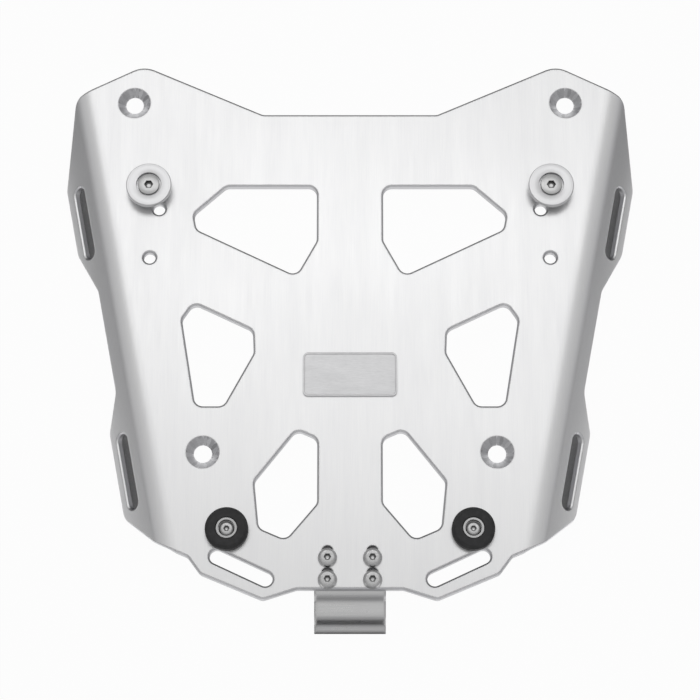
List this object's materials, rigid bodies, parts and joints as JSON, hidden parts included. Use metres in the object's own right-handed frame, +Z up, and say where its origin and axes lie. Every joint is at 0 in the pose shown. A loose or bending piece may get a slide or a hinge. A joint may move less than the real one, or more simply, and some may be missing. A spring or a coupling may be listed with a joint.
{
  "type": "motorcycle luggage rack",
  "caption": "Flat sheet metal rear rack for a motorcycle with folded side flanges, strap slots, lightening windows, case discs, rubber buffers and a bent rear catch.",
  "frame": {"origin": "in the underside of the plate, on the centre line, halfway between the front and the rear pair of countersunk mounting holes", "axes": "+X to the right, +Y to the front of the motorcycle, +Z up, square to the plate"},
  "size_m": [0.2924, 0.2946, 0.0284],
  "materials": {
    "brushed_plate": "straight brushed along the length, edges broken, flanges clear anodised",
    "name_plate_metal": "pressed sheet, bare satin field with a bright raised rim",
    "turned_disc": "fine turned, bright",
    "stainless_fastener": "stainless steel, satin",
    "cup_metal": "turned stainless steel, satin",
    "hook_steel": "bent strip, satin stainless steel",
    "buffer_rubber": "moulded, matte black"
  },
  "bodies": {
    "root": {"rack_plate": "brushed_plate", "name_plate": "name_plate_metal", "case_disc_right": "turned_disc", "disc_screw_right": "stainless_fastener", "disc_washer_right": "stainless_fastener", "disc_nut_right": "stainless_fastener", "rubber_buffer_right": "buffer_rubber", "buffer_cup_right": "cup_metal", "buffer_screw_right": "stainless_fastener", "buffer_washer_right": "stainless_fastener", "buffer_nut_right": "stainless_fastener", "hook_screw_front_right": "stainless_fastener", "hook_nut_front_right": "stainless_fastener", "hook_screw_rear_right": "stainless_fastener", "hook_nut_rear_right": "stainless_fastener", "case_disc_left": "turned_disc", "disc_screw_left": "stainless_fastener", "disc_washer_left": "stainless_fastener", "disc_nut_left": "stainless_fastener", "rubber_buffer_left": "buffer_rubber", "buffer_cup_left": "cup_metal", "buffer_screw_left": "stainless_fastener", "buffer_washer_left": "stainless_fastener", "buffer_nut_left": "stainless_fastener", "hook_screw_front_left": "stainless_fastener", "hook_nut_front_left": "stainless_fastener", "hook_screw_rear_left": "stainless_fastener", "hook_nut_rear_left": "stainless_fastener", "rear_hook": "hook_steel"}
  },
  "joints": []
}
